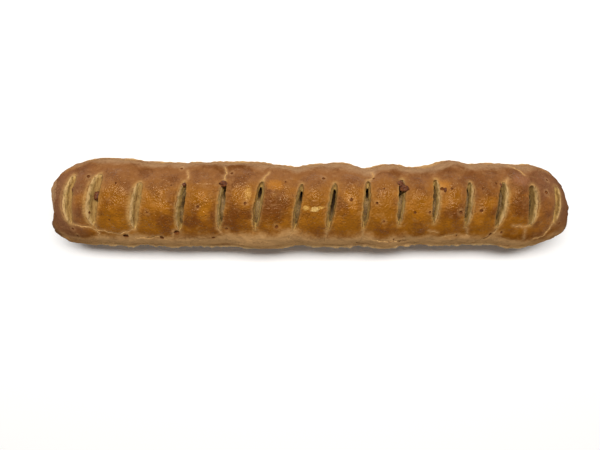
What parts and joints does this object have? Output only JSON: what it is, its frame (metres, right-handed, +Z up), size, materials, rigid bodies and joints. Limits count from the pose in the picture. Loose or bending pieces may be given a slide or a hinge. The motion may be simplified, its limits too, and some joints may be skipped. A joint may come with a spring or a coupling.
{
  "type": "sausage roll",
  "caption": "Whole long sausage roll: a browned, glazed pastry case with crosswise slashes along its crest, round a sausage-meat core that the slashes open to.",
  "frame": {"origin": "under the middle of the roll, on the surface that it rests on", "axes": "+X along the roll towards its skewed end, +Y to the back, +Z up through the slashed crest"},
  "size_m": [0.2991, 0.0538, 0.0392],
  "materials": {
    "pastry": "golden-brown baked crust with an egg-wash gloss, paler and matt where it is cut or unglazed",
    "filling": "moist baked sausage meat, coarse, grey-brown"
  },
  "bodies": {
    "root": {"pastry": "pastry", "filling": "filling"}
  },
  "joints": []
}
